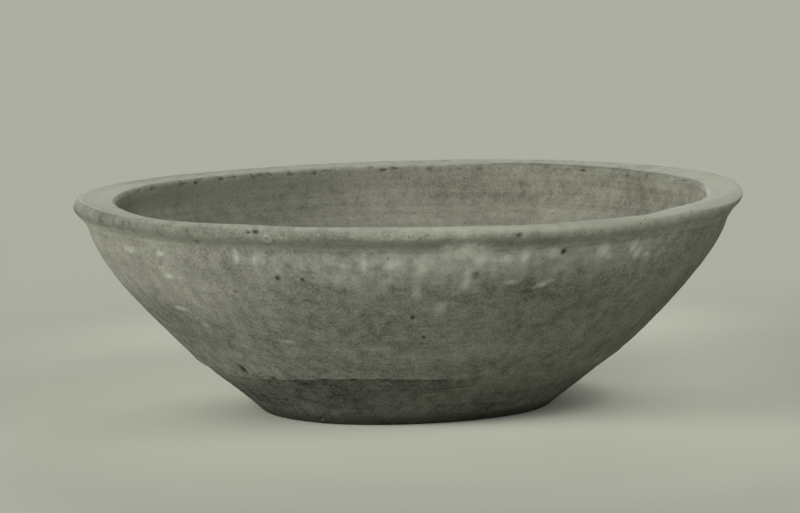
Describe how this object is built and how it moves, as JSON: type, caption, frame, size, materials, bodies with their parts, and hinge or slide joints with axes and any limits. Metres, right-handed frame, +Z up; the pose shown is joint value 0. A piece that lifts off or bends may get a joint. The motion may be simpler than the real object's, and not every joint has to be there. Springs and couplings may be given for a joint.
{
  "type": "pottery bowl",
  "caption": "Open flaring earthenware bowl with a rolled, overhanging rim and a flat trimmed foot, luted together from a base disc, wall rings and a rim roll.",
  "frame": {"origin": "middle of the flat base on which the bowl stands", "axes": "+Z up along the bowl's axis, out of its mouth; +X to the right and +Y away as the picture shows it"},
  "size_m": [0.24, 0.24, 0.0775],
  "materials": {
    "foot_clay": "unglazed earthenware, trimmed, matt",
    "trimmed_clay": "unglazed earthenware, knife trimmed, matt",
    "wiped_clay": "unglazed earthenware, wiped on the wheel, matt, with a pale bloom under the rim",
    "rim_clay": "unglazed earthenware, worn pale on the rim, matt"
  },
  "bodies": {
    "root": {"base_disc": "foot_clay", "lower_wall": "trimmed_clay", "upper_wall": "wiped_clay", "rim_roll": "rim_clay"}
  },
  "joints": []
}
